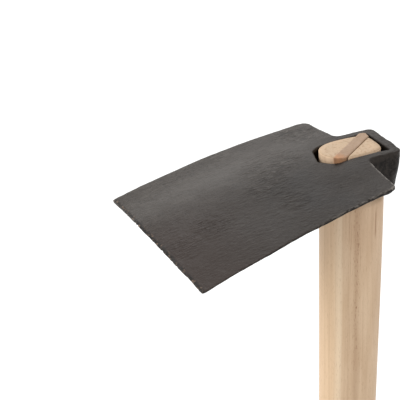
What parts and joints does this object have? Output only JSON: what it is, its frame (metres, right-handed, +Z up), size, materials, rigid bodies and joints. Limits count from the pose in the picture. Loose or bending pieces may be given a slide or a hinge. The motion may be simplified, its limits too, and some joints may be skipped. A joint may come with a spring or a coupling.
{
  "type": "grub hoe",
  "caption": "Grub hoe: a wide, drooping forged blade with an oval eye, wedged on a long straight wooden handle that thickens toward the head.",
  "frame": {"origin": "on the handle's axis, level with the lower rim of the eye", "axes": "+Z up along the handle toward the head, with the grip hanging below; the blade reaches toward -Y; X is across the blade"},
  "size_m": [0.1401, 0.1666, 1.5012],
  "materials": {
    "forged_steel": "matt black paint over a hammered forging",
    "handle_wood": "pale ash, sanded and lightly oiled",
    "wedge_wood": "darker hardwood, sawn"
  },
  "bodies": {
    "root": {"head": "forged_steel", "handle": "handle_wood", "wedge": "wedge_wood"}
  },
  "joints": []
}
